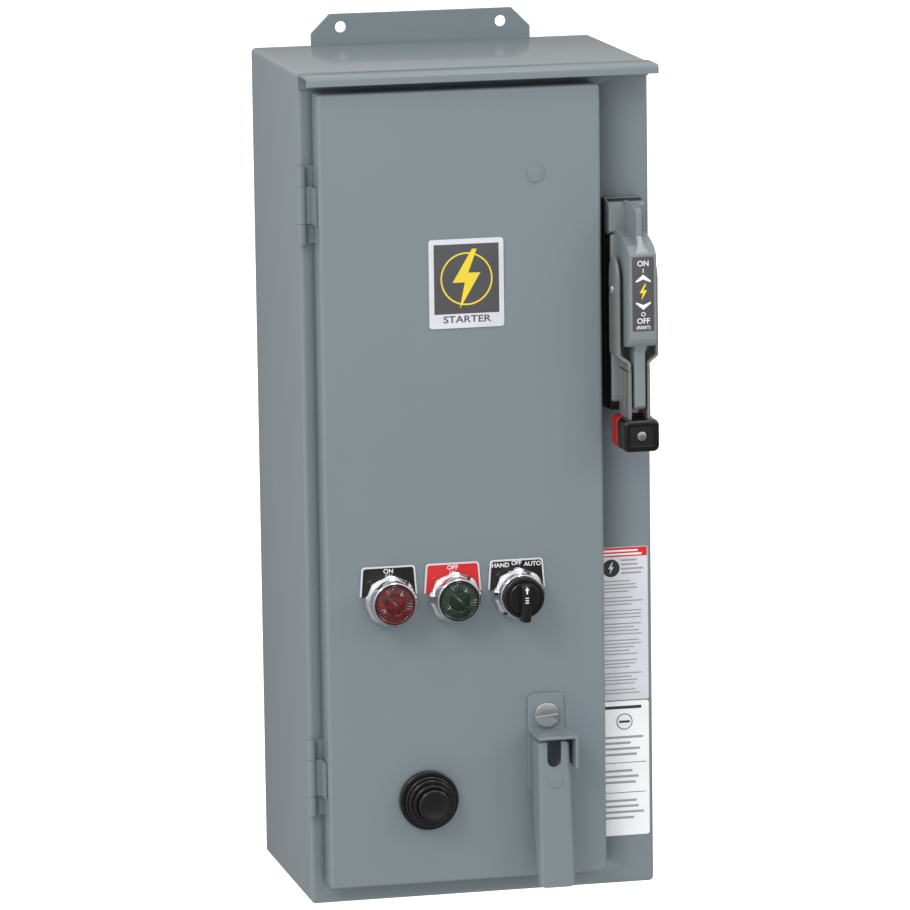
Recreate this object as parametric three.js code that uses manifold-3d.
// Combination magnetic motor starter in a steel wall enclosure, in millimetres.
// +X is to the right, -Y faces the user, +Z is up. The origin is on the wall plane,
// midway between the two holes of the upper mounting bracket.
import * as THREE from "three";
import { mergeVertices } from "three/addons/utils/BufferGeometryUtils.js";
import Module from "manifold-3d";

const wasm = await Module();
wasm.setup();

// ---------------------------------------------------------------- driving dimensions
const GAP = 0.3; // air between pieces that touch
const ROUND = 28; // facets on a round piece

// Enclosure body
const BODY_WIDTH = 276;
const BODY_HEIGHT = 652;
const BODY_DEPTH = 182;
const BODY_SHEET = 2;
const BODY_EDGE_RADIUS = 3;
const OPENING_OVERLAP = 10; // how far the door laps the frame on every side

// Mounting brackets
const BRACKET_SHEET = 3;
const BRACKET_WIDTH = 178;
const BRACKET_REACH = 24; // how far an ear stands past the body
const BRACKET_LAP = 26; // how far it runs along the body's back
const BRACKET_CHAMFER = 15;
const BRACKET_HOLE_SPACING = 130;
const BRACKET_HOLE_RADIUS = 4.5;
const BRACKET_HOLE_FROM_BODY = 13.5;

// Drip hood
const HOOD_REACH = 34.5;
const HOOD_LIP = 7;
const HOOD_SHEET = 2;
const HOOD_FLANGE = 12;

// Door
const DOOR_INSET_LEFT = 10;
const FLANGE_WIDTH = 45; // frame left bare at the right for the disconnect handle
const DOOR_INSET_TOP = 14;
const DOOR_INSET_BOTTOM = 17.5;
const DOOR_DEPTH = 27.5; // door face ahead of the frame face
const DOOR_SHEET = 2;
const DOOR_EDGE_RADIUS = 2.5;
const DOOR_STANDOFF = 3.2; // air between the door's returns and the frame
const DOOR_HEM = 11; // the returns' back edges turn inwards this far
const GASKET_INSET = 1.5;

// On the door
const EMBLEM = { fromLeft: 113.8, drop: 163.5, width: 59, height: 69, sheet: 0.8 };
const PLUG_RADIUS = 5.5;
const PLUG_FROM_DOOR_RIGHT = 51.4;
const PLUG_DROP = 81; // below the body's top

// Hinges
const BARREL_RADIUS = 3.5;
const HINGE_PIN_RADIUS = 1.6;
const LEAF_SHEET = 1.8;
const LEAF_REACH = 16; // how far the door leaf runs along the door's return
const HINGE_LENGTH = 60;
const KNUCKLE_END = 15.3; // length of the top and of the bottom knuckle
const HINGE_TOP_DROP = 71; // upper hinge below the body's top
const HINGE_BOTTOM_RISE = 72; // lower hinge above the body's bottom

// 30 mm pilot devices in a row
const DEVICE_PITCH = 50.8;
const DEVICE_ROW_RISE = 245; // above the body's bottom
const DEVICE_FIRST_X = 58.8; // from the body's left side
const DEVICE_HOLE_RADIUS = 15.25;
const NUT_WALL = 4.15; // from the bushing's hole to the nut's flats
const NUT_DEPTH = 11;
const RIM_WALL = 2.05; // from the bushing's hole to the outside of the nut's round rim
const RIM_DEPTH = 11.5; // of a pilot light's nut; the selector's is lower
const SELECTOR_RIM_DEPTH = 8;
const LEGEND_SHEET = 1;
const LEGEND_FOOT_HALF_WIDTH = 22.7;
const LEGEND_HEAD_HALF_WIDTH = 21.2;
const LEGEND_HEAD = 26; // above the device's middle
const LEGEND_FOOT = 3;
const KNOB_BASE_DEPTH = 8;
const KNOB_GRIP_OUT = 15;

// Reset button
const RESET_FROM_LEFT = 88;
const RESET_RISE = 84.5;
const RESET_BEZEL_RADIUS = 23.3;
const RESET_CAP_RADIUS = 12.4;
const RESET_ROD_RADIUS = 4;
const RESET_TRAVEL = 5.5;

// Latch
const LATCH_FROM_DOOR_RIGHT = 48.7; // pivot from the door's right edge
const LATCH_PIVOT_RISE = 100.5; // above the body's bottom
const LATCH_HANDLE_WIDTH = 28;
const LATCH_HANDLE_ABOVE = 30.4;
const LATCH_HANDLE_BELOW = 85.5;
const LATCH_HANDLE_STANDOFF = 31; // its face ahead of the door face
const LATCH_SHAFT_RADIUS = 5;
const LATCH_SHEET = 2.2;
const LATCH_PLATE_MARGIN = 0.3; // the plate is wider than the handle by this on each side
const LATCH_PLATE_ABOVE = 63; // above the pivot
const LATCH_PLATE_BELOW = 16;
const LATCH_PLATE_CORNER = 5;
const LATCH_SHELF_RISE = 33; // above the pivot
const LATCH_STOP_RISE = 9;
const LATCH_STOP_GAP = 1.2; // from the plate's edge to the stop wall
const LATCH_NOTCH_RADIUS = 5.6;
const LATCH_NOTCH_DEPTH = 14.4; // from the handle's top to the middle of its round foot
const INTERLOCK_SCREW_RADIUS = 9.6;
const INTERLOCK_SCREW_RISE = 46.5; // above the latch pivot
const PAWL_SETBACK = 38; // behind the door's sheet

// Disconnect handle on the right flange
const LEVER_FROM_RIGHT = 23.5; // handle centre line from the body's right side
const LEVER_PIVOT_DROP = 172.5; // below the body's top
const LEVER_PIVOT_OUT = 37; // ahead of the frame face
const CASTING_HALF_WIDTH = 13.2; // the body between the fork's arms
const CASTING_ABOVE = 68; // above the pivot
const CASTING_BELOW = 97;
const CASTING_FOOT_HALF_WIDTH = 15;
const CASTING_FOOT_DEPTH = 8;
const CASTING_BODY_OUT = 24;
const CASTING_CAP_OUT = 25;
const CASTING_CAP_HALF_WIDTH = 14.5;
const CASTING_CAP_HEIGHT = 28;
const LABEL_FACE_OUT = 72;
const LABEL_HALF_WIDTH = 10.8;
const RIB_OUT = 61; // front of the rib above the label and of the stem below it
const RIB_HALF_WIDTH = 2.4;
const STEM_HALF_WIDTH = 4.25;
const ARM_SHEET = 2.4;
const ARM_GAP = 0.5; // between the casting's body and an arm
const ARM_DEPTH = 27; // front edge to back edge
const ARM_FRONT = 18; // front edge ahead of the pivot
const ARM_STEP_DROP = 51; // the arms step inwards this far below the pivot
const TAIL_OUTER = 8.6;
const LEVER_PIN_RADIUS = 3;
const GRIP_DROP = 111; // middle of the grip below the pivot
const GRIP_WIDTH = 28.5;
const GRIP_HEIGHT = 25;
const GRIP_FRONT_OUT = 27.5; // its faces ahead of the pivot
const GRIP_SPLIT_OUT = 7;
const GRIP_REAR_OUT = -11;

// Inside
const PANEL_SHEET = 2;
const PANEL_STANDOFF = 11;
const PANEL_MARGIN = 16;
const BREAKER_WIDTH = 100;
const BREAKER_HEIGHT = 150;
const BREAKER_DEPTH = 84;
const CONTACTOR_WIDTH = 100;
const CONTACTOR_HEIGHT = 110;
const CONTACTOR_BASE_DEPTH = 44;
const CONTACTOR_COVER_DEPTH = 50;
const CARRIER_TRAVEL = 5;
const OVERLOAD_HEIGHT = 70;
const OVERLOAD_DEPTH = 80;
const LEAD_RADIUS = 2.6;
const TOGGLE_ANGLE = THREE.MathUtils.degToRad(20); // either side of level
const TOGGLE_REACH = 29;
const SLIDE_HALF_WIDTH = 6;
const COIL_HALF_WIDTH = 30;
const COIL_HALF_HEIGHT = 32;
const CARRIER_HALF_WIDTH = 22;
const CARRIER_HALF_HEIGHT = 14;
const PLUNGER_RADIUS = 4.5;
const PLUNGER_PROUD = 18; // ahead of the overload relay's face
const TERMINALS = 8;
const TERMINAL_PITCH = 8.5;

// ---------------------------------------------------------------- places worked out from them
const LEFT = -BODY_WIDTH / 2;
const RIGHT = BODY_WIDTH / 2;
const BACK = -(BRACKET_SHEET + GAP);
const FRONT = BACK - BODY_DEPTH;
const TOP = -BRACKET_HOLE_FROM_BODY;
const BOTTOM = TOP - BODY_HEIGHT;

const DOOR_LEFT = LEFT + DOOR_INSET_LEFT;
const DOOR_RIGHT = RIGHT - FLANGE_WIDTH;
const DOOR_TOP = TOP - DOOR_INSET_TOP;
const DOOR_BOTTOM = BOTTOM + DOOR_INSET_BOTTOM;
const DOOR_FRONT = FRONT - DOOR_DEPTH;
const DOOR_INNER = DOOR_FRONT + DOOR_SHEET;
const DOOR_BACK = FRONT - DOOR_STANDOFF;

const OPEN_LEFT = DOOR_LEFT + OPENING_OVERLAP;
const OPEN_RIGHT = DOOR_RIGHT - OPENING_OVERLAP;
const OPEN_TOP = DOOR_TOP - OPENING_OVERLAP;
const OPEN_BOTTOM = DOOR_BOTTOM + OPENING_OVERLAP;

const HINGE_X = LEFT + 1;
const HINGE_Y = FRONT - BARREL_RADIUS - GAP;
const UPPER_HINGE_TOP = TOP - HINGE_TOP_DROP;
const LOWER_HINGE_TOP = BOTTOM + HINGE_BOTTOM_RISE + HINGE_LENGTH;

const DEVICE_Z = BOTTOM + DEVICE_ROW_RISE;
const ON_X = LEFT + DEVICE_FIRST_X;
const OFF_X = ON_X + DEVICE_PITCH;
const SELECTOR_X = OFF_X + DEVICE_PITCH;
const NUT_BACK = DOOR_FRONT - LEGEND_SHEET - 2 * GAP;
const NUT_FLATS_RADIUS = DEVICE_HOLE_RADIUS + NUT_WALL;
const NUT_BORE_RADIUS = DEVICE_HOLE_RADIUS + 0.05;
const RIM_RADIUS = DEVICE_HOLE_RADIUS + RIM_WALL;
const LENS_RADIUS = NUT_BORE_RADIUS - GAP;

const RESET_X = LEFT + RESET_FROM_LEFT;
const RESET_Z = BOTTOM + RESET_RISE;

const LATCH_X = DOOR_RIGHT - LATCH_FROM_DOOR_RIGHT;
const LATCH_Z = BOTTOM + LATCH_PIVOT_RISE;
const LATCH_PLATE_FRONT = DOOR_FRONT - GAP - LATCH_SHEET;
const PAWL_BACK = DOOR_INNER + PAWL_SETBACK;

const PLUG_X = DOOR_RIGHT - PLUG_FROM_DOOR_RIGHT;
const PLUG_Z = TOP - PLUG_DROP;

const LEVER_X = RIGHT - LEVER_FROM_RIGHT;
const LEVER_Y = FRONT - LEVER_PIVOT_OUT;
const LEVER_Z = TOP - LEVER_PIVOT_DROP;
const ARM_OUTER = CASTING_HALF_WIDTH + ARM_GAP + ARM_SHEET;
const GRIP_Z = LEVER_Z - GRIP_DROP;
const GRIP_FRONT = LEVER_Y - GRIP_FRONT_OUT;
const GRIP_SPLIT = LEVER_Y - GRIP_SPLIT_OUT;
const GRIP_REAR = LEVER_Y - GRIP_REAR_OUT;

const PANEL_FRONT = BACK - BODY_SHEET - PANEL_STANDOFF - PANEL_SHEET;
const PANEL_LEFT = LEFT + PANEL_MARGIN;
const PANEL_RIGHT = RIGHT - PANEL_MARGIN;
const PANEL_TOP = TOP - PANEL_MARGIN;
const PANEL_BOTTOM = BOTTOM + PANEL_MARGIN;
const MOUNTED = PANEL_FRONT - GAP; // back plane of what is screwed to the panel

const TOGGLE_Z = LEVER_Z; // the breaker's toggle is level with the lever's pivot
const BREAKER_RIGHT = LEVER_X - SLIDE_HALF_WIDTH - 10;
const BREAKER_LEFT = BREAKER_RIGHT - BREAKER_WIDTH;
const BREAKER_X = (BREAKER_LEFT + BREAKER_RIGHT) / 2;
const BREAKER_FRONT = MOUNTED - BREAKER_DEPTH;
const TOGGLE_Y = BREAKER_FRONT + 5;
const SLIDE_REST_Z = TOGGLE_Z - TOGGLE_REACH * Math.sin(TOGGLE_ANGLE) + 1;
const SLIDE_Y = BREAKER_FRONT - 13; // its back face

const STARTER_X = RESET_X + 5;
const STARTER_LEFT = STARTER_X - CONTACTOR_WIDTH / 2;
const STARTER_RIGHT = STARTER_X + CONTACTOR_WIDTH / 2;
const OVERLOAD_BOTTOM = RESET_Z - OVERLOAD_HEIGHT / 2;
const OVERLOAD_TOP = OVERLOAD_BOTTOM + OVERLOAD_HEIGHT;
const OVERLOAD_FRONT = MOUNTED - OVERLOAD_DEPTH;
const CONTACTOR_BOTTOM = OVERLOAD_TOP + 2;
const CONTACTOR_TOP = CONTACTOR_BOTTOM + CONTACTOR_HEIGHT;
const CONTACTOR_Z = (CONTACTOR_TOP + CONTACTOR_BOTTOM) / 2;
const CONTACTOR_SPLIT = MOUNTED - CONTACTOR_BASE_DEPTH;
const CONTACTOR_FRONT = CONTACTOR_SPLIT - GAP - CONTACTOR_COVER_DEPTH;

// ---------------------------------------------------------------- finishes
const finish = (color, roughness, metalness) => ({ color, roughness, metalness });
const ENCLOSURE_PAINT = finish(0x7d878e, 0.45, 0.2);
const LEVER_PAINT = finish(0x6f777a, 0.4, 0.3);
const ZINC = finish(0xb9bdc0, 0.3, 0.9);
const CHROME = finish(0xdfe2e5, 0.1, 1);
const BLACK_PLASTIC = finish(0x141414, 0.35, 0);
const GREY_PLASTIC = finish(0x4a4d50, 0.5, 0);
const RED_PLASTIC = finish(0xc41e1e, 0.4, 0);
const RED_LENS = finish(0xb01018, 0.15, 0);
const GREEN_LENS = finish(0x0f4a2c, 0.15, 0);
const BLACK_PLATE = finish(0x23211f, 0.4, 0.2);
const RED_PLATE = finish(0xd83030, 0.4, 0.2);
const RUBBER = finish(0x1c1c1c, 0.8, 0);
const WHITE_PANEL = finish(0xd8dadb, 0.5, 0.2);
const COPPER = finish(0xb87445, 0.4, 0.9);
const LEAD_JACKET = finish(0x1a1a1a, 0.5, 0);

// ---------------------------------------------------------------- solids from three.js geometry
function solid(geometry) {
  const bare = geometry.index ? geometry.toNonIndexed() : geometry.clone();
  bare.deleteAttribute("normal");
  bare.deleteAttribute("uv");
  const merged = mergeVertices(bare, 1e-4);
  return new wasm.Manifold(
    new wasm.Mesh({
      numProp: 3,
      vertProperties: merged.attributes.position.array,
      triVerts: new Uint32Array(merged.index.array),
    }),
  );
}

// Adds up any number of solids.
const join = (...bodies) => bodies.reduce((sum, body) => sum.add(body));

// Takes every later solid away from the first.
const cut = (body, ...tools) => tools.reduce((rest, tool) => rest.subtract(tool), body);

function node(name, body, look) {
  const made = body.getMesh();
  const indexed = new THREE.BufferGeometry();
  indexed.setAttribute("position", new THREE.BufferAttribute(made.vertProperties, 3));
  indexed.setIndex(new THREE.BufferAttribute(made.triVerts, 1));
  const faceted = indexed.toNonIndexed();
  faceted.computeVertexNormals();
  const mesh = new THREE.Mesh(faceted, new THREE.MeshStandardMaterial(look));
  mesh.name = name;
  return mesh;
}

function box(x0, x1, y0, y1, z0, z1) {
  const size = [Math.abs(x1 - x0), Math.abs(y1 - y0), Math.abs(z1 - z0)];
  const shape = new THREE.BoxGeometry(...size);
  return solid(shape.translate((x0 + x1) / 2, (y0 + y1) / 2, (z0 + z1) / 2));
}

function outline(points) {
  return new THREE.Shape(points.map(([a, b]) => new THREE.Vector2(a, b)));
}

function roundedRectangle(a0, a1, b0, b1, radius) {
  const shape = new THREE.Shape();
  shape.moveTo(a0 + radius, b0);
  shape.lineTo(a1 - radius, b0);
  shape.absarc(a1 - radius, b0 + radius, radius, -Math.PI / 2, 0);
  shape.lineTo(a1, b1 - radius);
  shape.absarc(a1 - radius, b1 - radius, radius, 0, Math.PI / 2);
  shape.lineTo(a0 + radius, b1);
  shape.absarc(a0 + radius, b1 - radius, radius, Math.PI / 2, Math.PI);
  shape.lineTo(a0, b0 + radius);
  shape.absarc(a0 + radius, b0 + radius, radius, Math.PI, 1.5 * Math.PI);
  return shape;
}

function extrusion(shape, depth, arcSteps) {
  return new THREE.ExtrudeGeometry(shape, { depth, bevelEnabled: false, curveSegments: arcSteps });
}

// A plan outline (x, y) carried from z0 up to z1.
function plan(shape, z0, z1, arcSteps = 4) {
  return solid(extrusion(shape, z1 - z0, arcSteps).translate(0, 0, z0));
}

// A front outline (x, z) carried forwards from y0 to y1, where y1 is nearer the user.
function face(shape, y0, y1, arcSteps = 4) {
  const forward = extrusion(shape, y0 - y1, arcSteps).rotateX(Math.PI / 2);
  return solid(forward.translate(0, y0, 0));
}

// A side outline (y, z) carried from x0 to x1.
function side(shape, x0, x1, arcSteps = 4) {
  const cycle = new THREE.Matrix4().makeBasis(
    new THREE.Vector3(0, 1, 0),
    new THREE.Vector3(0, 0, 1),
    new THREE.Vector3(1, 0, 0),
  );
  return solid(extrusion(shape, x1 - x0, arcSteps).applyMatrix4(cycle).translate(x0, 0, 0));
}

// A [radius, y] profile turned round the axis (x, any y, z); it runs from back to front.
function turned(profile, x, z, facets = ROUND) {
  const points = profile.map(([radius, y]) => new THREE.Vector2(radius, y)).reverse();
  return solid(new THREE.LatheGeometry(points, facets).translate(x, 0, z));
}

const rodY = (radius, x, z, y0, y1, facets = ROUND) =>
  turned([[0, y0], [radius, y0], [radius, y1], [0, y1]], x, z, facets);

function rodX(radius, y, z, x0, x1, facets = ROUND) {
  const rod = new THREE.CylinderGeometry(radius, radius, x1 - x0, facets).rotateZ(Math.PI / 2);
  return solid(rod.translate((x0 + x1) / 2, y, z));
}

function rodZ(radius, x, y, z0, z1, facets = ROUND) {
  const rod = new THREE.CylinderGeometry(radius, radius, z1 - z0, facets).rotateX(Math.PI / 2);
  return solid(rod.translate(x, y, (z0 + z1) / 2));
}

// ---------------------------------------------------------------- enclosure
function enclosureBody() {
  const r = BODY_EDGE_RADIUS;
  const outer = plan(roundedRectangle(LEFT, RIGHT, FRONT, BACK, r), BOTTOM, TOP);
  const t = BODY_SHEET;
  const inner = box(LEFT + t, RIGHT - t, FRONT + t, BACK - t, BOTTOM + t, TOP - t);
  const opening = box(OPEN_LEFT, OPEN_RIGHT, FRONT - 1, FRONT + 2 * t, OPEN_BOTTOM, OPEN_TOP);
  const operatorSlot = box(LEVER_X - 4, LEVER_X + 4, FRONT - 1, FRONT + 2 * t, LEVER_Z - 26, LEVER_Z + 26);
  return node("enclosure_body", cut(outer, inner, opening, operatorSlot), ENCLOSURE_PAINT);
}

// One sheet: a flange on the frame, the roof, and a lip turned down at the front.
function dripHood() {
  const y0 = FRONT - GAP;
  const y1 = FRONT - HOOD_REACH;
  const t = HOOD_SHEET;
  const profile = outline([
    [y0, TOP], [y1, TOP], [y1, TOP - HOOD_LIP], [y1 + t, TOP - HOOD_LIP], [y1 + t, TOP - t],
    [y0 - t, TOP - t], [y0 - t, TOP - HOOD_FLANGE], [y0, TOP - HOOD_FLANGE],
  ].reverse());
  return node("drip_hood", side(profile, LEFT, RIGHT), ENCLOSURE_PAINT);
}

// A flat ear behind the body with two bolt holes; up is +1 at the top, -1 below.
function mountingBracket(name, edge, up) {
  const half = BRACKET_WIDTH / 2;
  const tip = edge + up * BRACKET_REACH;
  const shoulder = tip - up * BRACKET_CHAMFER;
  const root = edge - up * BRACKET_LAP;
  const points = [
    [-half, root], [half, root], [half, shoulder],
    [half - BRACKET_CHAMFER, tip], [-half + BRACKET_CHAMFER, tip], [-half, shoulder],
  ];
  const ear = face(outline(up > 0 ? points : points.reverse()), 0, -BRACKET_SHEET);
  const holeZ = edge + up * BRACKET_HOLE_FROM_BODY;
  const holes = [-1, 1].map((s) =>
    rodY(BRACKET_HOLE_RADIUS, (s * BRACKET_HOLE_SPACING) / 2, holeZ, 1, -BRACKET_SHEET - 1));
  return node(name, cut(ear, ...holes), ENCLOSURE_PAINT);
}

function componentPanel() {
  const shape = roundedRectangle(PANEL_LEFT, PANEL_RIGHT, PANEL_BOTTOM, PANEL_TOP, 6);
  const sheet = face(shape, PANEL_FRONT + PANEL_SHEET, PANEL_FRONT);
  const studs = [];
  for (const x of [PANEL_LEFT + 12, PANEL_RIGHT - 12]) {
    for (const z of [PANEL_TOP - 12, PANEL_BOTTOM + 12]) {
      studs.push(rodY(5, x, z, BACK - BODY_SHEET - GAP, PANEL_FRONT + 1, 12));
    }
  }
  return node("component_panel", join(sheet, ...studs), WHITE_PANEL);
}

// ---------------------------------------------------------------- hinges
// Frame leaf: top and bottom knuckles on a strap that lies on the frame's face.
function frameLeaf(name, top) {
  const bottom = top - HINGE_LENGTH;
  const upper = rodZ(BARREL_RADIUS, HINGE_X, HINGE_Y, top - KNUCKLE_END, top, 20);
  const lower = rodZ(BARREL_RADIUS, HINGE_X, HINGE_Y, bottom, bottom + KNUCKLE_END, 20);
  const strap = box(HINGE_X, DOOR_LEFT + DOOR_SHEET - 1, FRONT - GAP - LEAF_SHEET, FRONT - GAP, bottom, top);
  const clear = rodZ(BARREL_RADIUS + GAP, HINGE_X, HINGE_Y, bottom + KNUCKLE_END, top - KNUCKLE_END, 20);
  const bore = rodZ(HINGE_PIN_RADIUS + GAP, HINGE_X, HINGE_Y, bottom - 1, top + 1, 12);
  return node(name, cut(join(upper, lower, strap), clear, bore), ENCLOSURE_PAINT);
}

// Door leaf: the middle knuckle on a strap folded along the door's left return.
function doorLeaf(name, top) {
  const bottom = top - HINGE_LENGTH;
  const z0 = bottom + KNUCKLE_END + GAP;
  const z1 = top - KNUCKLE_END - GAP;
  const knuckle = rodZ(BARREL_RADIUS, HINGE_X, HINGE_Y, z0, z1, 20);
  const strapBack = HINGE_Y + LEAF_SHEET / 2;
  const inner = DOOR_LEFT - GAP;
  const across = box(HINGE_X, inner, strapBack - LEAF_SHEET, strapBack, z0, z1);
  const along = box(inner - LEAF_SHEET, inner, strapBack - LEAF_REACH, strapBack, z0, z1);
  const bore = rodZ(HINGE_PIN_RADIUS + GAP, HINGE_X, HINGE_Y, z0 - 1, z1 + 1, 12);
  return node(name, cut(join(knuckle, across, along), bore), ENCLOSURE_PAINT);
}

function hingePin(name, top) {
  const pin = rodZ(HINGE_PIN_RADIUS, HINGE_X, HINGE_Y, top - HINGE_LENGTH, top, 12);
  return node(name, pin, ZINC);
}

// ---------------------------------------------------------------- door
// A block as large as the door less the inset all round, from y0 to y1.
function doorInset(inset, y0, y1) {
  return box(DOOR_LEFT + inset, DOOR_RIGHT - inset, y0, y1, DOOR_BOTTOM + inset, DOOR_TOP - inset);
}

// A pan: a face with four returns and a hem, its front edges rounded.
function doorPan() {
  const r = DOOR_EDGE_RADIUS;
  const shape = roundedRectangle(DOOR_LEFT + r, DOOR_RIGHT - r, DOOR_BOTTOM + r, DOOR_TOP - r, 0.5);
  const depth = DOOR_BACK - DOOR_FRONT;
  const block = new THREE.ExtrudeGeometry(shape, {
    depth, bevelSize: r, bevelThickness: r, bevelSegments: 3, curveSegments: 2,
  }).rotateX(Math.PI / 2).translate(0, DOOR_FRONT + r + depth, 0);
  const keep = box(DOOR_LEFT - 1, DOOR_RIGHT + 1, DOOR_FRONT - 1, DOOR_BACK, DOOR_BOTTOM - 1, DOOR_TOP + 1);
  const t = DOOR_SHEET;
  const hollow = doorInset(t, DOOR_INNER, DOOR_BACK - t);
  const mouth = doorInset(DOOR_HEM, DOOR_INNER, DOOR_BACK + 1);
  const hole = (radius, x, z) => rodY(radius, x, z, DOOR_INNER + 2, DOOR_FRONT - 2);
  const holes = [ON_X, OFF_X, SELECTOR_X].map((x) => hole(DEVICE_HOLE_RADIUS, x, DEVICE_Z));
  holes.push(hole(RESET_ROD_RADIUS + 4.5, RESET_X, RESET_Z));
  holes.push(hole(LATCH_SHAFT_RADIUS + GAP, LATCH_X, LATCH_Z));
  holes.push(hole(LATCH_SHAFT_RADIUS + GAP, LATCH_X, LATCH_Z + INTERLOCK_SCREW_RISE));
  holes.push(hole(PLUG_RADIUS + GAP, PLUG_X, PLUG_Z));
  return node("door_pan", cut(solid(block).intersect(keep), hollow, mouth, ...holes), ENCLOSURE_PAINT);
}

// A rubber strip on the door's hem that meets the frame's face.
function doorGasket() {
  const ring = doorInset(GASKET_INSET, DOOR_BACK + GAP, FRONT - GAP);
  const hollow = doorInset(DOOR_HEM - 1, DOOR_BACK, FRONT);
  return node("door_gasket", cut(ring, hollow), RUBBER);
}

function emblemPlate() {
  const z = TOP - EMBLEM.drop;
  const x = DOOR_LEFT + EMBLEM.fromLeft;
  const shape = roundedRectangle(x - EMBLEM.width / 2, x + EMBLEM.width / 2,
    z - EMBLEM.height / 2, z + EMBLEM.height / 2, 2.5);
  return node("emblem_plate", face(shape, DOOR_FRONT - GAP, DOOR_FRONT - GAP - EMBLEM.sheet), WHITE_PANEL);
}

function holePlug() {
  const profile = [
    [0, DOOR_INNER + 3], [PLUG_RADIUS, DOOR_INNER + 3], [PLUG_RADIUS, DOOR_FRONT - GAP],
    [7, DOOR_FRONT - GAP], [6.4, DOOR_FRONT - 1.2], [0, DOOR_FRONT - 1.6],
  ];
  return node("hole_plug", turned(profile, PLUG_X, PLUG_Z), ENCLOSURE_PAINT);
}

// ---------------------------------------------------------------- pilot devices
// A legend plate: wider at its foot than at its head, cut round the device's bushing.
function legendPlate(name, x, look) {
  const top = DEVICE_Z + LEGEND_HEAD;
  const foot = DEVICE_Z + LEGEND_FOOT;
  const wide = LEGEND_FOOT_HALF_WIDTH;
  const narrow = LEGEND_HEAD_HALF_WIDTH;
  const corner = 3;
  const shape = outline([
    [x - wide, foot], [x + wide, foot], [x + narrow, top - corner], [x + narrow - corner, top],
    [x + corner - narrow, top], [x - narrow, top - corner],
  ]);
  const plate = face(shape, DOOR_FRONT - GAP, DOOR_FRONT - GAP - LEGEND_SHEET);
  return node(name, cut(plate, rodY(DEVICE_HOLE_RADIUS, x, DEVICE_Z, DOOR_FRONT, DOOR_FRONT - 4)), look);
}

// An eight-sided nut with a round rim ahead of it, bored right through.
function ringNut(name, x, rimDepth) {
  const flats = NUT_FLATS_RADIUS / Math.cos(Math.PI / 8);
  const corners = [];
  for (let i = 0; i < 8; i += 1) {
    const angle = ((i + 0.5) * Math.PI) / 4;
    corners.push([x + flats * Math.cos(angle), DEVICE_Z + flats * Math.sin(angle)]);
  }
  const nut = face(outline(corners), NUT_BACK, NUT_BACK - NUT_DEPTH);
  const front = NUT_BACK - NUT_DEPTH;
  const rim = rodY(RIM_RADIUS, x, DEVICE_Z, front + 1, front - rimDepth);
  const bore = rodY(NUT_BORE_RADIUS, x, DEVICE_Z, NUT_BACK + 1, front - rimDepth - 1);
  return node(name, cut(join(nut, rim), bore), CHROME);
}

function pilotLens(name, x, look) {
  const front = NUT_BACK - NUT_DEPTH - RIM_DEPTH;
  const back = front + 8;
  const r = LENS_RADIUS;
  const profile = [
    [0, back], [r, back], [r, front], [r * 0.8, front - 1.4], [r * 0.4, front - 2.2], [0, front - 2.5],
  ];
  return node(name, turned(profile, x, DEVICE_Z), look);
}

// Bushing through the door and a square socket block behind it.
function deviceSocket(name, x, depth, look) {
  const bushing = rodY(DEVICE_HOLE_RADIUS - GAP, x, DEVICE_Z, DOOR_INNER + 2, NUT_BACK - NUT_DEPTH);
  const half = NUT_FLATS_RADIUS + 0.6;
  const high = half + 2;
  const block = box(x - half, x + half, DOOR_INNER + GAP, DOOR_INNER + depth,
    DEVICE_Z - high, DEVICE_Z + high);
  return node(name, join(bushing, block), look);
}

function selectorKnob() {
  const back = NUT_BACK - NUT_DEPTH - SELECTOR_RIM_DEPTH - GAP;
  const x = SELECTOR_X;
  const r = RIM_RADIUS - 1.1;
  const base = back - KNOB_BASE_DEPTH;
  const disc = turned([
    [0, back], [r, back], [r, base + 3], [r - 1.7, base + 1.5], [r - 3.2, base + 1.5], [r - 3.8, base],
    [0, base],
  ], x, DEVICE_Z);
  const fin = face(roundedRectangle(x - 4.5, x + 4.5, DEVICE_Z - 19, DEVICE_Z + 13, 3),
    base + 3, back - KNOB_GRIP_OUT);
  return node("selector_knob", join(disc, fin), BLACK_PLASTIC);
}

// ---------------------------------------------------------------- reset button
function resetBezel() {
  const f = DOOR_FRONT - GAP;
  const r = RESET_BEZEL_RADIUS;
  const bore = RESET_CAP_RADIUS + 0.6;
  const guide = RESET_ROD_RADIUS + 4;
  const rod = RESET_ROD_RADIUS + 0.4;
  const profile = [
    [rod, DOOR_INNER + 18], [guide, DOOR_INNER + 18], [guide, f], [r, f], [r, f - 5], [r - 1.5, f - 7],
    [r - 3, f - 7], [r - 3, f - 12], [r - 4.5, f - 14], [r - 6.5, f - 14], [r - 6.5, f - 17],
    [r - 8, f - 19], [bore, f - 19], [bore, f - 10], [rod, f - 10], [rod, DOOR_INNER + 18],
  ];
  return node("reset_bezel", turned(profile, RESET_X, RESET_Z, 32), BLACK_PLASTIC);
}

function resetButton() {
  const f = DOOR_FRONT - GAP;
  const c = RESET_CAP_RADIUS;
  const tip = OVERLOAD_FRONT - PLUNGER_PROUD - GAP;
  const profile = [
    [0, tip], [RESET_ROD_RADIUS, tip], [RESET_ROD_RADIUS, f - 16.5], [c, f - 16.5], [c, f - 22.5],
    [c - 1, f - 23.7], [0, f - 24],
  ];
  return node("reset_button", turned(profile, RESET_X, RESET_Z), BLACK_PLASTIC);
}

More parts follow.
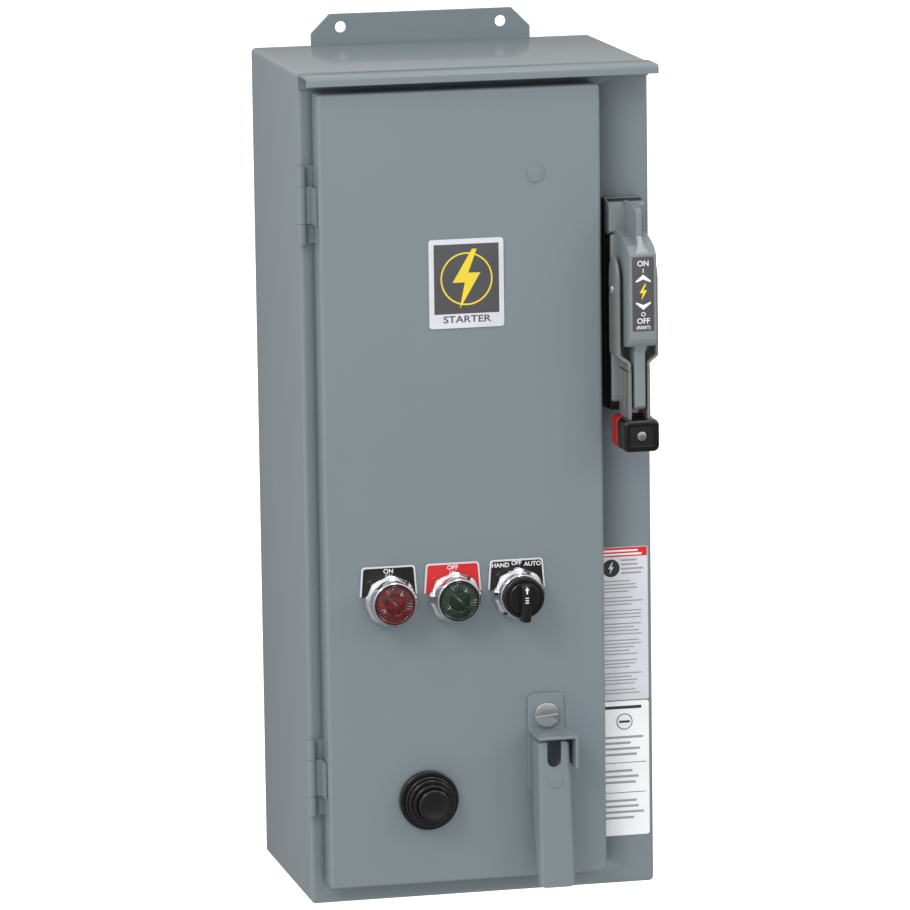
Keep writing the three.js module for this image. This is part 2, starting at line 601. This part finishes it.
// ---------------------------------------------------------------- door latch
// A flat plate on the door, a shelf bent forwards over the handle and a stop wall bent down from it.
function latchPlate() {
  const half = LATCH_HANDLE_WIDTH / 2 + LATCH_PLATE_MARGIN;
  const back = DOOR_FRONT - GAP;
  const top = LATCH_Z + LATCH_PLATE_ABOVE;
  const foot = LATCH_Z - LATCH_PLATE_BELOW;
  const t = LATCH_SHEET;
  const r = LATCH_PLATE_CORNER;
  const shape = new THREE.Shape();
  shape.moveTo(LATCH_X - half + 4, foot);
  shape.lineTo(LATCH_X + half, foot);
  shape.absarc(LATCH_X + half - r, top - r, r, 0, Math.PI / 2);
  shape.absarc(LATCH_X - half + r, top - r, r, Math.PI / 2, Math.PI);
  shape.lineTo(LATCH_X - half, foot + 6);
  const plate = face(shape, back, back - t);
  const shelfZ = LATCH_Z + LATCH_SHELF_RISE;
  const stopZ = LATCH_Z + LATCH_STOP_RISE;
  const reach = DOOR_FRONT - LATCH_HANDLE_STANDOFF - 5;
  const wall = LATCH_X + half + LATCH_STOP_GAP;
  const shelf = box(LATCH_X - half, wall + t, back - 0.5, reach, shelfZ, shelfZ + t);
  const stop = box(wall, wall + t, back - 0.5, reach, stopZ, shelfZ + 1);
  const stopRoot = box(LATCH_X, wall + t, back - t, back, stopZ, shelfZ + t);
  const hole = (z) => rodY(LATCH_SHAFT_RADIUS + GAP, LATCH_X, z, DOOR_FRONT + 1, DOOR_FRONT - 6);
  const holes = [hole(LATCH_Z), hole(LATCH_Z + INTERLOCK_SCREW_RISE)];
  return node("latch_plate", cut(join(plate, shelf, stop, stopRoot), ...holes), ENCLOSURE_PAINT);
}

// A channel open at the back, notched at the top, with its side flanges narrowing to the foot.
function latchHandle() {
  const half = LATCH_HANDLE_WIDTH / 2;
  const t = LATCH_SHEET;
  const f = DOOR_FRONT - LATCH_HANDLE_STANDOFF;
  const z0 = LATCH_Z - LATCH_HANDLE_BELOW;
  const z1 = LATCH_Z + LATCH_HANDLE_ABOVE;
  const web = face(roundedRectangle(LATCH_X - half, LATCH_X + half, z0, z1, 3), f + t, f);
  const flange = outline([
    [f, z0 + 3], [f + 9, z0 + 3], [f + 22, LATCH_Z - 30], [f + 22, z1 - 3], [f, z1 - 3],
  ]);
  const flanges = [
    side(flange, LATCH_X - half, LATCH_X - half + t),
    side(flange, LATCH_X + half - t, LATCH_X + half),
  ];
  const notchRadius = LATCH_NOTCH_RADIUS;
  const notchFoot = z1 - LATCH_NOTCH_DEPTH;
  const notch = join(
    box(LATCH_X - notchRadius, LATCH_X + notchRadius, f - 1, f + t + 1, notchFoot, z1 + 1),
    rodY(notchRadius, LATCH_X, notchFoot, f + t + 1, f - 1),
  );
  const boss = rodY(6, LATCH_X, LATCH_Z, f + 0.5, f - 0.6);
  return node("latch_handle", join(cut(join(web, ...flanges), notch), boss), ENCLOSURE_PAINT);
}

function latchShaft() {
  const f = DOOR_FRONT - LATCH_HANDLE_STANDOFF + LATCH_SHEET + GAP;
  return node("latch_shaft", rodY(LATCH_SHAFT_RADIUS, LATCH_X, LATCH_Z, DOOR_INNER + 26, f), ZINC);
}

// An arm behind the frame's flange that stops just short of the keeper.
function latchPawl() {
  const y0 = PAWL_BACK;
  const y1 = PAWL_BACK - 4;
  const hub = rodY(9, LATCH_X, LATCH_Z, y0, DOOR_INNER + 26 + GAP);
  const tip = OPEN_RIGHT - 1;
  const arm = box(LATCH_X, tip, y0, y1, LATCH_Z - 6, LATCH_Z + 6);
  return node("latch_pawl", join(hub, arm), ZINC);
}

function latchKeeper() {
  const y0 = FRONT + BODY_SHEET + GAP;
  const lip = box(OPEN_RIGHT + 0.5, OPEN_RIGHT + 18, y0, y0 + 2.5, LATCH_Z - 25, LATCH_Z + 25);
  const hook = box(OPEN_RIGHT + 0.5, OPEN_RIGHT + 3, y0, y0 + 14, LATCH_Z - 12, LATCH_Z + 12);
  return node("latch_keeper", join(lip, hook), ZINC);
}

function interlockScrew() {
  const x = LATCH_X;
  const z = LATCH_Z + INTERLOCK_SCREW_RISE;
  const f = LATCH_PLATE_FRONT - GAP;
  const r = INTERLOCK_SCREW_RADIUS;
  const body = turned([
    [0, DOOR_INNER + 14], [LATCH_SHAFT_RADIUS, DOOR_INNER + 14], [LATCH_SHAFT_RADIUS, f], [r, f],
    [r, f - 2.6], [r - 0.8, f - 3.6], [0, f - 3.6],
  ], x, z);
  const slot = box(x - r - 1, x + r + 1, f - 2.2, f - 5, z - 0.8, z + 0.8);
  return node("interlock_screw", cut(body, slot), ZINC);
}

// ---------------------------------------------------------------- disconnect handle
// A side outline of points [ahead of the frame, above the pivot], carried between two distances
// from the handle's centre line.
function handleProfile(points, from, to) {
  const at = points.map(([out, rise]) => new THREE.Vector2(FRONT - out, LEVER_Z + rise));
  if (THREE.ShapeUtils.isClockWise(at)) at.reverse();
  return side(new THREE.Shape(at), LEVER_X + from, LEVER_X + to);
}

// A casting on the flange: a foot, a body with a cap, a label block, a rib above it and a stem below it.
function handleBase() {
  const foot = face(roundedRectangle(
    LEVER_X - CASTING_FOOT_HALF_WIDTH, LEVER_X + CASTING_FOOT_HALF_WIDTH,
    LEVER_Z - CASTING_BELOW, LEVER_Z + CASTING_ABOVE, 3,
  ), FRONT - GAP, FRONT - CASTING_FOOT_DEPTH);
  const inner = CASTING_FOOT_DEPTH - 1;
  const top = CASTING_ABOVE;
  const bottom = -CASTING_BELOW;
  const out = CASTING_BODY_OUT;
  const body = handleProfile([
    [inner, bottom + 3], [out - 6, bottom + 3], [out, bottom + 9], [out, top - 1], [inner, top - 1],
  ], -CASTING_HALF_WIDTH, CASTING_HALF_WIDTH);
  const capFoot = top - CASTING_CAP_HEIGHT;
  const crown = CASTING_CAP_OUT;
  const cap = handleProfile([
    [inner, capFoot], [crown - 4, capFoot], [crown, capFoot + 4], [crown, top - 4], [inner + 2, top],
    [inner, top],
  ], -CASTING_CAP_HALF_WIDTH, CASTING_CAP_HALF_WIDTH);
  const label = LABEL_FACE_OUT;
  const block = handleProfile([
    [inner, -46], [label - 14, -42], [label - 8, -41], [label - 4, -39.5], [label - 1.5, -37],
    [label, -34], [label, 31], [label - 7, 37], [RIB_OUT - 11, 42], [inner, 47],
  ], -LABEL_HALF_WIDTH, LABEL_HALF_WIDTH);
  const rib = handleProfile([
    [inner, 20], [label - 1, 20], [label - 1, 31], [RIB_OUT, 44], [RIB_OUT, top - 6],
    [RIB_OUT - 6, top - 3], [RIB_OUT - 14, top - 1.5], [inner, top - 1.5],
  ], -RIB_HALF_WIDTH, RIB_HALF_WIDTH);
  const stem = handleProfile([
    [inner, -30], [label - 6, -38], [RIB_OUT, -46], [RIB_OUT, -88], [RIB_OUT - 3, -91], [inner, -91],
  ], -STEM_HALF_WIDTH, STEM_HALF_WIDTH);
  const reach = ARM_OUTER + 2;
  const pinHole = rodX(LEVER_PIN_RADIUS + GAP, LEVER_Y, LEVER_Z, LEVER_X - reach, LEVER_X + reach, 16);
  return node("handle_base", cut(join(foot, body, cap, block, rib, stem), pinHole), LEVER_PAINT);
}

// One arm of the fork: a wide upper part round the pivot, a step inwards, and a narrow tail.
function leverArm(sign) {
  const front = LEVER_PIVOT_OUT + ARM_FRONT;
  const back = front - ARM_DEPTH;
  const step = -ARM_STEP_DROP;
  const foot = 9 - GRIP_DROP;
  const upper = [
    [back, step], [back, 14], [back + 4, 22], [LEVER_PIVOT_OUT + 2, 26], [front - 6, 22], [front - 1.5, 16],
    [front, 8], [front, step],
  ];
  const turn = [[front, step], [front + 1, step - 4], [back, step - 4], [back, step]];
  const tail = [
    [front + 1, step - 1], [front + 3, step - 6], [front + 3, foot], [back, foot], [back, step - 1],
  ];
  const bent = (points, a, b) => (sign > 0 ? handleProfile(points, a, b) : handleProfile(points, -b, -a));
  return join(
    bent(upper, ARM_OUTER - ARM_SHEET, ARM_OUTER),
    bent(turn, TAIL_OUTER - ARM_SHEET, ARM_OUTER),
    bent(tail, TAIL_OUTER - ARM_SHEET, TAIL_OUTER),
  );
}

// The bar between the tails, grown by some air for the room that the grip leaves for it.
function forkBar(air) {
  return box(LEVER_X - TAIL_OUTER - air, LEVER_X + TAIL_OUTER + air, LEVER_Y - 18 - air, LEVER_Y - 3 + air,
    GRIP_Z - 9 - air, GRIP_Z + 11 + air);
}

function leverFork() {
  const bore = rodX(LEVER_PIN_RADIUS + 0.1, LEVER_Y, LEVER_Z, LEVER_X - 30, LEVER_X + 30, 16);
  return node("lever_fork", cut(join(leverArm(-1), leverArm(1), forkBar(0)), bore), LEVER_PAINT);
}

function leverPin() {
  const reach = ARM_OUTER + 1.2;
  const pin = rodX(LEVER_PIN_RADIUS - 0.2, LEVER_Y, LEVER_Z, LEVER_X - reach, LEVER_X + reach, 16);
  return node("lever_pivot_pin", pin, ZINC);
}

// The grip is two halves that clamp the fork's bar and tails; the rear one is wider and hangs lower.
function gripHalf(y0, y1, grow, drop) {
  const shape = roundedRectangle(
    LEVER_X - GRIP_WIDTH / 2 - grow, LEVER_X + GRIP_WIDTH / 2 + grow,
    GRIP_Z - GRIP_HEIGHT / 2 - drop, GRIP_Z + GRIP_HEIGHT / 2 - drop, 4,
  );
  const tails = box(LEVER_X - TAIL_OUTER - GAP, LEVER_X + TAIL_OUTER + GAP,
    LEVER_Y - ARM_FRONT - 3 - GAP, LEVER_Y - ARM_FRONT + ARM_DEPTH + GAP,
    GRIP_Z + 9 - GAP, GRIP_Z + GRIP_HEIGHT);
  return cut(face(shape, y0, y1), forkBar(GAP), tails);
}

function leverGrip() {
  const half = gripHalf(GRIP_SPLIT - GAP, GRIP_FRONT, 0, 0);
  const panel = face(roundedRectangle(LEVER_X - 9, LEVER_X + 9, GRIP_Z - 8.5, GRIP_Z + 8.5, 2),
    GRIP_FRONT + 1, GRIP_FRONT - 1);
  const screwHole = rodY(3.8, LEVER_X, GRIP_Z, GRIP_FRONT + 3, GRIP_FRONT - 1);
  return node("lever_grip", cut(half, panel, screwHole), BLACK_PLASTIC);
}

const gripBacking = () => node("grip_backing", gripHalf(GRIP_REAR, GRIP_SPLIT, 0.5, 2.5), RED_PLASTIC);

function gripScrew() {
  const profile = [
    [0, GRIP_FRONT + 2.6], [3.4, GRIP_FRONT + 2.6], [3.4, GRIP_FRONT + 0.8], [2.2, GRIP_FRONT - 0.3],
    [0, GRIP_FRONT - 0.6],
  ];
  return node("grip_screw", turned(profile, LEVER_X, GRIP_Z, 16), ZINC);
}

// ---------------------------------------------------------------- breaker and its operator
function breakerCase() {
  const z0 = TOGGLE_Z - BREAKER_HEIGHT / 2;
  const z1 = TOGGLE_Z + BREAKER_HEIGHT / 2;
  const f = BREAKER_FRONT;
  const low = box(BREAKER_LEFT, BREAKER_RIGHT, MOUNTED, f + 22, z0, z1);
  const raised = box(BREAKER_LEFT, BREAKER_RIGHT, MOUNTED, f, z0 + 32, z1 - 32);
  const window = box(BREAKER_X - 9, BREAKER_X + 9, f + 26, f - 1, TOGGLE_Z - 20, TOGGLE_Z + 20);
  const grooves = [];
  for (const x of [-1, 1]) {
    const at = BREAKER_X + (x * BREAKER_WIDTH) / 6;
    grooves.push(box(at - 1, at + 1, MOUNTED - 40, f + 20, z0 - 1, z0 + 31));
    grooves.push(box(at - 1, at + 1, MOUNTED - 40, f + 20, z1 - 31, z1 + 1));
  }
  return node("breaker_case", cut(join(low, raised), window, ...grooves), BLACK_PLASTIC);
}

// The toggle hangs a little below level when the breaker is off.
function breakerToggle() {
  const hub = rodX(6, 0, 0, -8, 8, 16);
  const stick = box(-5, 5, -TOGGLE_REACH, 0, -3.5, 3.5);
  const mesh = node("breaker_toggle", join(hub, stick), BLACK_PLASTIC);
  mesh.position.set(BREAKER_X, TOGGLE_Y + 6, TOGGLE_Z);
  mesh.rotation.x = TOGGLE_ANGLE;
  return mesh;
}

// A bar behind the flange carries an arm with two fingers, one above and one below the toggle.
function operatorSlide() {
  const x = LEVER_X;
  const bar = box(x - SLIDE_HALF_WIDTH, x + SLIDE_HALF_WIDTH, SLIDE_Y, SLIDE_Y - 8,
    SLIDE_REST_Z - 45, SLIDE_REST_Z + 45);
  const arm = box(BREAKER_X + 11, x, SLIDE_Y, SLIDE_Y - 5, SLIDE_REST_Z - 4, SLIDE_REST_Z + 4);
  const riser = box(BREAKER_X + 11, BREAKER_X + 16, SLIDE_Y, SLIDE_Y - 5,
    SLIDE_REST_Z - 14, SLIDE_REST_Z + 14);
  const finger = (z) => box(BREAKER_X - 8, BREAKER_X + 16, SLIDE_Y, SLIDE_Y - 5, z - 2, z + 2);
  const fingers = [finger(SLIDE_REST_Z - 12), finger(SLIDE_REST_Z + 12)];
  return node("operator_slide", join(bar, arm, riser, ...fingers), ZINC);
}

// A channel on the breaker's right that the slide runs in.
function operatorGuide() {
  const x = LEVER_X;
  const w = SLIDE_HALF_WIDTH + 2.5 + GAP;
  const z0 = LEVER_Z - 85;
  const z1 = LEVER_Z + 70;
  const back = SLIDE_Y + 6;
  const web = box(x - w, x + w, back, SLIDE_Y + GAP, z0, z1);
  const wall = (a, b, lo, hi) => box(a, b, back, SLIDE_Y - 9, lo, hi);
  const armLow = SLIDE_REST_Z - 8;
  const armHigh = SLIDE_REST_Z + 2 * TOGGLE_REACH * Math.sin(TOGGLE_ANGLE) + 8;
  const foot = box(x - w, x + w, MOUNTED, back - 0.5, z0, z0 + 4);
  const head = box(x - w, x + w, MOUNTED, back - 0.5, z1 - 4, z1);
  return node("operator_guide", join(
    web, wall(x + w - 2.5, x + w, z0, z1), wall(x - w, x - w + 2.5, z0, armLow),
    wall(x - w, x - w + 2.5, armHigh, z1), foot, head,
  ), ZINC);
}

// ---------------------------------------------------------------- contactor and overload relay
function contactorBase() {
  const block = box(STARTER_LEFT, STARTER_RIGHT, MOUNTED, CONTACTOR_SPLIT, CONTACTOR_BOTTOM, CONTACTOR_TOP);
  const pocket = box(
    STARTER_X - COIL_HALF_WIDTH - GAP, STARTER_X + COIL_HALF_WIDTH + GAP, MOUNTED - 8, CONTACTOR_SPLIT - 1,
    CONTACTOR_Z - COIL_HALF_HEIGHT - GAP, CONTACTOR_Z + COIL_HALF_HEIGHT + GAP,
  );
  return node("contactor_base", cut(block, pocket), GREY_PLASTIC);
}

function contactorCoil() {
  const block = box(
    STARTER_X - COIL_HALF_WIDTH, STARTER_X + COIL_HALF_WIDTH, MOUNTED - 8 - GAP, CONTACTOR_SPLIT + 2,
    CONTACTOR_Z - COIL_HALF_HEIGHT, CONTACTOR_Z + COIL_HALF_HEIGHT,
  );
  return node("contactor_coil", block, COPPER);
}

function contactorCover() {
  const y0 = CONTACTOR_SPLIT - GAP;
  const y1 = CONTACTOR_FRONT;
  const block = box(STARTER_LEFT, STARTER_RIGHT, y0, y1 + 16, CONTACTOR_BOTTOM, CONTACTOR_TOP);
  const raised = box(STARTER_LEFT, STARTER_RIGHT, y0, y1, CONTACTOR_BOTTOM + 28, CONTACTOR_TOP - 28);
  const window = box(
    STARTER_X - CARRIER_HALF_WIDTH - 0.5, STARTER_X + CARRIER_HALF_WIDTH + 0.5, y0 + 1, y1 - 1,
    CONTACTOR_Z - CARRIER_HALF_HEIGHT - 0.5, CONTACTOR_Z + CARRIER_HALF_HEIGHT + 0.5,
  );
  const grooves = [];
  for (const s of [-1, 1]) {
    const at = STARTER_X + (s * CONTACTOR_WIDTH) / 6;
    grooves.push(box(at - 1, at + 1, y0 - 20, y1 + 15, CONTACTOR_BOTTOM - 1, CONTACTOR_BOTTOM + 26));
    grooves.push(box(at - 1, at + 1, y0 - 20, y1 + 15, CONTACTOR_TOP - 26, CONTACTOR_TOP + 1));
  }
  return node("contactor_cover", cut(join(block, raised), window, ...grooves), BLACK_PLASTIC);
}

// The moving carrier shows in the cover's window and is pulled in by the coil.
function contactorCarrier() {
  const back = CONTACTOR_SPLIT - CARRIER_TRAVEL - 1.5;
  const block = box(
    STARTER_X - CARRIER_HALF_WIDTH, STARTER_X + CARRIER_HALF_WIDTH, back, CONTACTOR_FRONT - 4,
    CONTACTOR_Z - CARRIER_HALF_HEIGHT, CONTACTOR_Z + CARRIER_HALF_HEIGHT,
  );
  return node("contactor_carrier", block, GREY_PLASTIC);
}

function overloadRelay() {
  const f = OVERLOAD_FRONT;
  const block = box(STARTER_LEFT, STARTER_RIGHT, MOUNTED, f, OVERLOAD_BOTTOM, OVERLOAD_TOP);
  const step = box(STARTER_LEFT - 1, STARTER_RIGHT + 1, f + 22, f - 1,
    OVERLOAD_BOTTOM - 1, OVERLOAD_BOTTOM + 18);
  const bore = rodY(PLUNGER_RADIUS + 0.4, RESET_X, RESET_Z, f + RESET_TRAVEL + 14, f - 1, 20);
  const grooves = [-1, 1].map((s) => {
    const at = STARTER_X + (s * CONTACTOR_WIDTH) / 6;
    return box(at - 1, at + 1, f + 42, f + 20, OVERLOAD_BOTTOM - 1, OVERLOAD_BOTTOM + 17);
  });
  return node("overload_relay", cut(block, step, bore, ...grooves), BLACK_PLASTIC);
}

function overloadPlunger() {
  const f = OVERLOAD_FRONT;
  const body = rodY(PLUNGER_RADIUS, RESET_X, RESET_Z, f + 12, f - PLUNGER_PROUD, 20);
  return node("overload_plunger", body, RED_PLASTIC);
}

// ---------------------------------------------------------------- other components on the panel
function controlTransformer() {
  const x = PANEL_LEFT + 48;
  const z = TOP - 105;
  const core = box(x - 36, x + 36, MOUNTED, MOUNTED - 50, z - 30, z + 30);
  const winding = box(x - 24, x + 24, MOUNTED - 6, MOUNTED - 64, z - 21, z + 21);
  const feet = box(x - 44, x + 44, MOUNTED, MOUNTED - 3, z - 34, z + 34);
  return node("control_transformer", join(core, winding, feet), GREY_PLASTIC);
}

function fuseBlock() {
  const x = PANEL_LEFT + 48;
  const z = TOP - 196;
  const foot = box(x - 34, x + 34, MOUNTED, MOUNTED - 14, z - 32, z + 32);
  const fuses = [-22, 0, 22].map((dx) => rodZ(5.5, x + dx, MOUNTED - 26, z - 24, z + 24, 16));
  const clips = [];
  for (const dx of [-22, 0, 22]) {
    for (const dz of [-18, 18]) {
      clips.push(box(x + dx - 6.5, x + dx + 6.5, MOUNTED - 12, MOUNTED - 27, z + dz - 4, z + dz + 4));
    }
  }
  return node("fuse_block", join(foot, ...fuses, ...clips), GREY_PLASTIC);
}

// A row of screw terminals on a rail at the lower right.
function terminalBlock() {
  const x0 = STARTER_RIGHT + 22;
  const z = RESET_Z + 34;
  const length = TERMINALS * TERMINAL_PITCH;
  const strip = box(x0, x0 + length, MOUNTED, MOUNTED - 22, z - 14, z + 14);
  const barriers = [];
  for (let i = 0; i <= TERMINALS; i += 1) {
    const x = x0 + i * TERMINAL_PITCH;
    const inner = THREE.MathUtils.clamp(x, x0 + 1, x0 + length - 1);
    barriers.push(box(inner - 1, inner + 1, MOUNTED - 20, MOUNTED - 30, z - 14, z + 14));
  }
  return node("terminal_block", join(strip, ...barriers), WHITE_PANEL);
}

function groundBar() {
  const x0 = STARTER_RIGHT + 26;
  const z = PANEL_BOTTOM + 22;
  const feet = [x0 + 6, x0 + 54].map((x) => box(x - 5, x + 5, MOUNTED, MOUNTED - 8, z - 5, z + 5));
  const bar = box(x0, x0 + 60, MOUNTED - 7, MOUNTED - 15, z - 5, z + 5);
  const screws = [12, 24, 36, 48].map((dx) => rodY(3, x0 + dx, z, MOUNTED - 14, MOUNTED - 18, 12));
  return node("ground_bar", join(bar, ...feet, ...screws), COPPER);
}

// A lead from a breaker pole down to the contactor pole of the same phase.
function powerLead(name, phase) {
  const startX = BREAKER_X + (phase * BREAKER_WIDTH) / 3;
  const endX = STARTER_X + (phase * CONTACTOR_WIDTH) / 3;
  const top = TOGGLE_Z - BREAKER_HEIGHT / 2 - GAP;
  const end = CONTACTOR_TOP + GAP;
  const startY = MOUNTED - 34;
  const endY = CONTACTOR_SPLIT - 24;
  const run = top - end;
  const straight = run * 0.0928;
  const slant = run * 0.0696;
  const jog = (top + end) / 2 - phase * run * 0.116;
  const route = new THREE.CatmullRomCurve3([
    new THREE.Vector3(startX, startY, top),
    new THREE.Vector3(startX, startY, top - straight),
    new THREE.Vector3((3 * startX + endX) / 4, (startY + endY) / 2, jog + slant),
    new THREE.Vector3((startX + 3 * endX) / 4, (startY + endY) / 2, jog - slant),
    new THREE.Vector3(endX, endY, end + straight),
    new THREE.Vector3(endX, endY, end),
  ]);
  const section = new THREE.Shape();
  section.absarc(0, 0, LEAD_RADIUS, 0, 2 * Math.PI);
  const tube = new THREE.ExtrudeGeometry(section, {
    steps: 18, extrudePath: route, curveSegments: 4, bevelEnabled: false,
  });
  return node(name, solid(tube), LEAD_JACKET);
}

// ---------------------------------------------------------------- assembly
function group(...members) {
  const made = new THREE.Group();
  made.add(...members);
  return made;
}

const enclosure = group(
  enclosureBody(), dripHood(), componentPanel(), latchKeeper(), handleBase(),
  mountingBracket("upper_mounting_bracket", TOP, 1),
  mountingBracket("lower_mounting_bracket", BOTTOM, -1),
  frameLeaf("upper_hinge_frame_leaf", UPPER_HINGE_TOP), hingePin("upper_hinge_pin", UPPER_HINGE_TOP),
  frameLeaf("lower_hinge_frame_leaf", LOWER_HINGE_TOP), hingePin("lower_hinge_pin", LOWER_HINGE_TOP),
);

const components = group(
  breakerCase(), operatorGuide(), contactorBase(), contactorCoil(), contactorCover(), overloadRelay(),
  controlTransformer(), fuseBlock(), terminalBlock(), groundBar(),
  powerLead("power_lead_left", -1), powerLead("power_lead_middle", 0), powerLead("power_lead_right", 1),
);

const moving = group(
  breakerToggle(), operatorSlide(), contactorCarrier(), overloadPlunger(),
);

const lever = group(leverFork(), leverPin(), leverGrip(), gripBacking(), gripScrew());

const latch = group(latchHandle(), latchShaft(), latchPawl());

const door = group(
  doorPan(), doorGasket(), emblemPlate(), holePlug(), latchPlate(), resetBezel(),
  doorLeaf("upper_hinge_door_leaf", UPPER_HINGE_TOP), doorLeaf("lower_hinge_door_leaf", LOWER_HINGE_TOP),
  legendPlate("on_legend_plate", ON_X, BLACK_PLATE),
  legendPlate("off_legend_plate", OFF_X, RED_PLATE),
  legendPlate("selector_legend_plate", SELECTOR_X, BLACK_PLATE),
  ringNut("on_ring_nut", ON_X, RIM_DEPTH), ringNut("off_ring_nut", OFF_X, RIM_DEPTH),
  ringNut("selector_ring_nut", SELECTOR_X, SELECTOR_RIM_DEPTH),
  pilotLens("red_pilot_lens", ON_X, RED_LENS), pilotLens("green_pilot_lens", OFF_X, GREEN_LENS),
  deviceSocket("red_pilot_socket", ON_X, 52, GREY_PLASTIC),
  deviceSocket("green_pilot_socket", OFF_X, 52, GREY_PLASTIC),
  deviceSocket("selector_switch_block", SELECTOR_X, 46, GREY_PLASTIC),
  latch, interlockScrew(), resetButton(), selectorKnob(),
);

const starter = group(enclosure, components, moving, lever, door);
export default starter;
